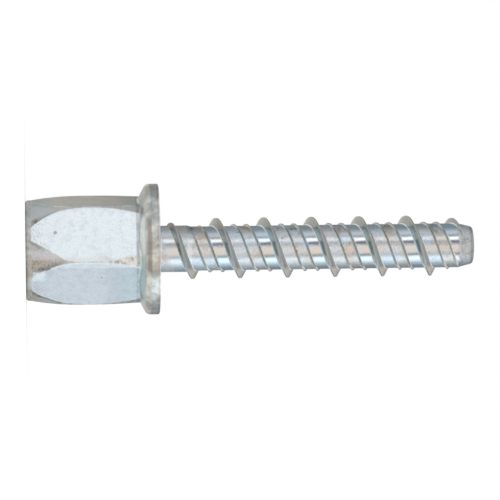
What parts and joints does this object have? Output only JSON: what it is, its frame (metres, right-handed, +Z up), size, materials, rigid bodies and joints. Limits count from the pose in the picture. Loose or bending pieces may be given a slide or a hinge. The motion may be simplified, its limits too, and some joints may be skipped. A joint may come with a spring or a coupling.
{
  "type": "rod hanger screw anchor",
  "caption": "Steel screw anchor for concrete, with a hexagonal coupling tapped for a threaded hanging rod, a coned flange and a shank with high and low threads.",
  "frame": {"origin": "on the floor and on the screw's axis, in the middle of the coupling's mouth, on which the anchor stands", "axes": "+Z up along the axis from the coupling's mouth to the tip; the picture looks along +Y, with its right side towards +Z"},
  "size_m": [0.0166, 0.0166, 0.0573],
  "materials": {
    "zinc_plated_steel": "bright zinc plating over forged and rolled steel, with some tan and brown stains"
  },
  "bodies": {
    "root": {"hanger_anchor": "zinc_plated_steel"}
  },
  "joints": []
}
